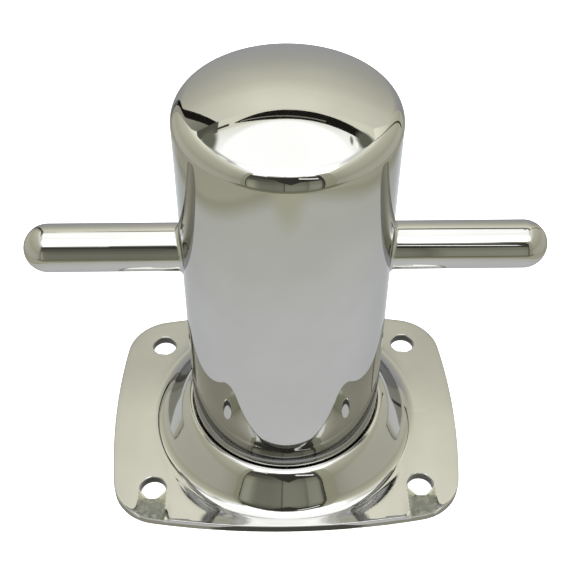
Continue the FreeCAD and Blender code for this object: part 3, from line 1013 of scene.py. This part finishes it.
level("tent_floor", -SIDE, FRONT, SIDE, BACK, -2, glow(
    "tent_floor_glow", (FRONT, shows(100, 100, 84)), (-240, shows(104, 104, 87)), (-211, shows(118, 117, 99)),
    (-185, shows(140, 140, 121)), (-150, shows(150, 149, 132)), (BACK, shows(150, 149, 134)), axis="Y"))

# The plate shades the floor round its outline, first softly and then closely.
card("plate_shade", [(x, y, -0.75) for x, y in plate_outline(-1.7)], glow("shade_glow", shows(132, 131, 119)))

# A dark strip in front of the plate, which cuts short the tip of the bright reflection low on the post.
# It was placed, and it stands for nothing that is known to lie there.
bowed_band("front_shade", -25, 25, -0.72, lambda x: -48.7 + 0.0062 * x * x, lambda x: -44.8,
           glow("front_shade_glow", shows(66, 66, 60)))
# A painted contact shadow close round the plate's outline.
card("plate_contact_shadow", [(x, y, -0.7) for x, y in plate_outline(-0.45)],
     glow("contact_shadow_glow", shows(92, 92, 80)))

# The paper under the bolt holes, the sill of the doorway, and the paper that the part stands on, with a
# painted shadow on its front.
for number, (x, y) in enumerate(HOLES):
    patch("hole_paper_%d" % number, x, y, 7, 7, -0.6, shows(172, 173, 172), soft=0.1)
level("door_sill", DOOR_LEFT, -206, DOOR_RIGHT, -200, -1.5, glow("sill_glow", shows(84, 83, 70)))
patch("paper_rim", 6, 0, 169, 187, -1.2, shows(140, 139, 122), soft=0.03)
patch("paper", 6, 0, 166, 184, -1, shows(166, 167, 160), soft=0.09)
# A painted shadow on the paper in front of the part.
patch("paper_front_painted_shadow", 0, -176, 74, 30, -0.9, shows(155, 155, 137), soft=0.8)
patch("paper_middle", 4, 4, 158, 160, -0.8, shows(177, 178, 178), soft=0.45)
patch("paper_back", 4, 124, 170, 92, -0.75, shows(206, 213, 216), soft=0.9)


# ---------------------------------------------------------------- the tent: front wall and doorway

upright("front_left", -SIDE, FRONT, DOOR_LEFT, FRONT, 0, TOP, glow(
    "front_left_glow", (0, shows(128, 128, 110)), (160, shows(131, 131, 112)), (TOP, shows(146, 146, 130))))
upright("front_right", DOOR_RIGHT, FRONT, SIDE, FRONT, 0, TOP, glow(
    "front_right_glow", (0, shows(130, 130, 112)), (160, shows(136, 136, 117)), (TOP, shows(150, 150, 134))))
for edge, x0, x1 in (("left", DOOR_LEFT - 6, DOOR_LEFT), ("right", DOOR_RIGHT, DOOR_RIGHT + 7)):
    upright("door_%s_edge" % edge, x0, FRONT + 1, x1, FRONT + 1, 0, 395, glow(edge + "_edge_glow", BLACK))
upright("door", DOOR_LEFT, FRONT, DOOR_RIGHT, FRONT, 0, TOP, glow(
    "door_glow", (0, shows(116, 117, 104)), (110, shows(118, 119, 106)), (165, shows(108, 108, 96)),
    (240, shows(98, 98, 85)), (385, shows(96, 96, 88)), (425, shows(225, 226, 220)),
    (TOP, blazing(1.1, 240, 241, 236)),
    dim=("X", (DOOR_LEFT, 1.20), (-195, 1.55), (-172, 1.48), (-150, 1.05), (-132, 0.84), (-70, 0.80),
         (-23, 0.88), (-21, 0.42), (-17, 0.42), (-15, 1.02), (30, 1.0), (75, 0.92), (86, 0.72), (97, 1.14),
         (140, 1.22), (156, 1.02), (162, 0.36), (DOOR_RIGHT, 0.30))))
front_card("door_dark", 1, [(DOOR_LEFT, 300), (-70, 285), (-40, 225), (10, 165), (55, 230), (DOOR_RIGHT, 228),
                            (DOOR_RIGHT, 372), (60, 392), (DOOR_LEFT, 388)],
           glow("door_dark_glow", (DOOR_LEFT, shows(66, 65, 60)), (-60, shows(52, 51, 47)),
                (80, shows(46, 45, 42)), (DOOR_RIGHT, shows(60, 59, 54)), axis="X"))
front_card("door_dusk", 0.5, [(DOOR_LEFT, 225), (-70, 215), (-40, 300), (DOOR_LEFT, 310)],
           glow("door_dusk_glow", shows(80, 80, 70)))
front_card("door_lamp_left", 2, [(-172, 404), (-112, 378), (-112, 396), (-172, 424)],
           glow("lamp_left_glow", shows(252, 252, 250)))
front_card("door_lamp_right", 2, [(50, 318), (150, 272), (150, 298), (50, 350)],
           glow("lamp_right_glow", shows(250, 250, 248)))

# A dark shell far outside the tent, for what the steel sees past the cards.
FAR = 2500
shell_card = glow("tent_dark", (0.012, 0.012, 0.012))
upright("dark_back", -FAR, FAR, FAR, FAR, -10, FAR, shell_card)
upright("dark_front", -FAR, -FAR, FAR, -FAR, -10, FAR, shell_card)
upright("dark_left", -FAR, -FAR, -FAR, FAR, -10, FAR, shell_card)
upright("dark_right", FAR, -FAR, FAR, FAR, -10, FAR, shell_card)
level("dark_top", -FAR, -FAR, FAR, FAR, FAR, shell_card)
level("dark_floor", -FAR, -FAR, FAR, FAR, -5, shell_card)


# ---------------------------------------------------------------- floor, light and camera

FLOOR_HALF = 20.0
FLOOR_Z = -0.0003


def make_floor():
    """A plain pale floor, in metres. The steel's reflections show the tent's floor cards instead of it."""
    material, nodes, links = new_material("pale_floor")
    shader = nodes["Principled BSDF"]
    shader.inputs["Base Color"].default_value = (0.92, 0.92, 0.92, 1)
    shader.inputs["Roughness"].default_value = 0.9
    shader.inputs["Emission Color"].default_value = (1, 1, 1, 1)
    shader.inputs["Emission Strength"].default_value = 1.0
    shader.inputs["Specular IOR Level"].default_value = 0.0
    mesh = bpy.data.meshes.new("floor")
    mesh.from_pydata([(-FLOOR_HALF, -FLOOR_HALF, FLOOR_Z), (FLOOR_HALF, -FLOOR_HALF, FLOOR_Z),
                      (FLOOR_HALF, FLOOR_HALF, FLOOR_Z), (-FLOOR_HALF, FLOOR_HALF, FLOOR_Z)],
                     [], [(0, 1, 2, 3)])
    mesh.materials.append(material)
    floor = bpy.data.objects.new("floor", mesh)
    bpy.context.scene.collection.objects.link(floor)
    floor.visible_glossy = False


make_floor()

world = bpy.data.worlds.new("studio")
bpy.context.scene.world = world
world.use_nodes = True
world.node_tree.nodes["Background"].inputs["Color"].default_value = (1, 1, 1, 1)
world.node_tree.nodes["Background"].inputs["Strength"].default_value = 1.6

# Where the photographer's camera stood, what its middle looks at, and its focal length as a share of the
# picture's width.
EYE = Vector((-5.5, -220.4, 285.0)) * MM
TARGET = Vector((0.542, 0.0, 62.04)) * MM
ROLL = math.radians(0.546)
LENS_SHARE = 1.8247
SENSOR = 36

camera_data = bpy.data.cameras.new("camera")
camera = bpy.data.objects.new("camera", camera_data)
bpy.context.scene.collection.objects.link(camera)
bpy.context.scene.camera = camera
ahead_way = (TARGET - EYE).normalized()
right_way = ahead_way.cross(Vector((0, 0, 1))).normalized()
up_way = right_way.cross(ahead_way)
rolled_right = right_way * math.cos(ROLL) + up_way * math.sin(ROLL)
rolled_up = up_way * math.cos(ROLL) - right_way * math.sin(ROLL)
camera.location = EYE
camera.rotation_euler = Matrix((rolled_right, rolled_up, -ahead_way)).transposed().to_euler()
camera_data.sensor_width = SENSOR
camera_data.lens = LENS_SHARE * SENSOR
camera_data.clip_start = 0.005
camera_data.clip_end = 100

bpy.context.scene.view_settings.view_transform = "Standard"
